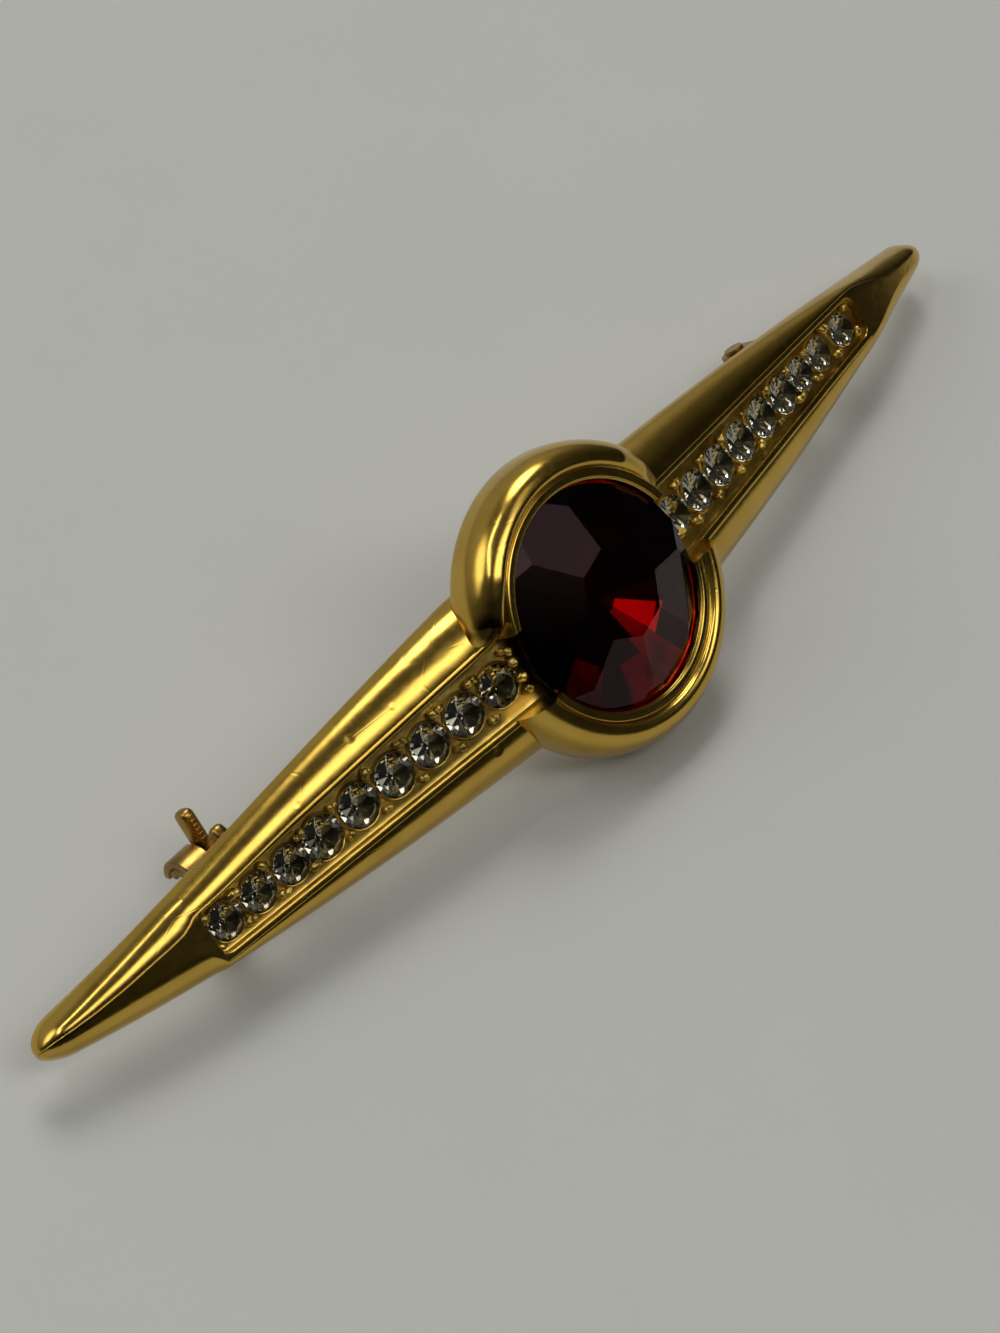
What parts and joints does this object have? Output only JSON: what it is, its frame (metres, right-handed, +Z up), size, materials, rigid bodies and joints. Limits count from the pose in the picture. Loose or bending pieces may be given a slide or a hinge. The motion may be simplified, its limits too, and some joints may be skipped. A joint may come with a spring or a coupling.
{
  "type": "bar brooch",
  "caption": "Gold-plated bar brooch: tapering arms with channels of small clear stones, a domed collar round a large dark red stone, and a hinged pin with a turning safety catch.",
  "frame": {"origin": "on the table, under the middle of the bounding box", "axes": "+X along the bar from the catch end to the hinge end, +Z up from the table it lies on, so that the brooch's face looks up and towards -Y"},
  "size_m": [0.0712, 0.0146, 0.0128],
  "materials": {
    "gold_plate": "polished yellow gold plate over a brass-coloured casting, worn dull in the channels",
    "red_glass": "polished faceted dark red glass with a foiled back",
    "clear_glass": "polished faceted clear glass with a foiled back"
  },
  "bodies": {
    "brooch": {"bar": "gold_plate", "centre_stone": "red_glass", "hinge_rivet": "gold_plate", "stone_near_1": "clear_glass", "stone_near_2": "clear_glass", "stone_near_3": "clear_glass", "stone_near_4": "clear_glass", "stone_near_5": "clear_glass", "stone_near_6": "clear_glass", "stone_near_7": "clear_glass", "stone_near_8": "clear_glass", "stone_near_9": "clear_glass", "stone_far_1": "clear_glass", "stone_far_2": "clear_glass", "stone_far_3": "clear_glass", "stone_far_4": "clear_glass", "stone_far_5": "clear_glass", "stone_far_6": "clear_glass", "stone_far_7": "clear_glass", "stone_far_8": "clear_glass", "stone_far_9": "clear_glass"},
    "pin": {"pin_stem": "gold_plate"},
    "lever": {"catch_lever": "gold_plate"}
  },
  "joints": [
    {"name": "pin_hinge", "type": "hinge", "parent": "brooch", "child": "pin", "pos_m": [0.02225, 0.00521, 0.0014], "axis": [0, 0.6869, 0.7267], "range_deg": [-80, 0]},
    {"name": "catch_turn", "type": "hinge", "parent": "brooch", "child": "lever", "pos_m": [-0.02295, 0.00521, 0.0014], "axis": [1, 0, 0], "range_deg": [0, 90]}
  ]
}
